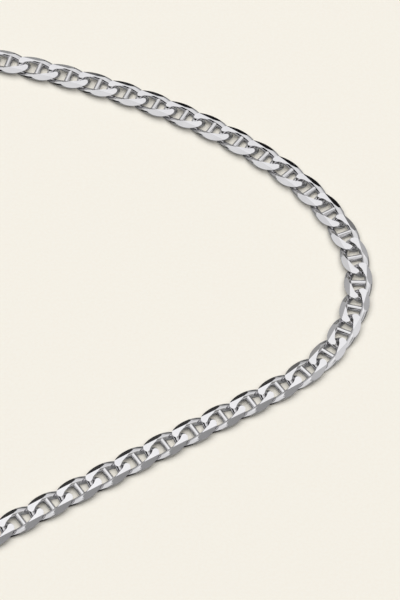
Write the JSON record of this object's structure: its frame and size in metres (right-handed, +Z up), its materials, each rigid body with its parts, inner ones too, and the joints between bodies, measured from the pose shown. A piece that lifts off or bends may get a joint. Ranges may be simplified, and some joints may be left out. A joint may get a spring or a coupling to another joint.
{
  "type": "mariner link neck chain",
  "caption": "Polished silver neck chain of flat ground oval links, each with a bar across its middle, joined by a plain clasp.",
  "frame": {"origin": "middle of the loop's outer box, on the plane the chain lies on", "axes": "+Z up from the plane the chain lies on, +X from the clasp's side towards the narrow end of the loop, +Y to the left of that"},
  "size_m": [0.1901, 0.142, 0.0014],
  "materials": {
    "chain_metal": "rhodium-plated sterling silver, ground flat and mirror polished",
    "clasp_metal": "rhodium-plated sterling silver, mirror polished"
  },
  "bodies": {
    "root": {"upper_chain": "chain_metal", "lower_chain": "chain_metal", "clasp": "clasp_metal"}
  },
  "joints": []
}
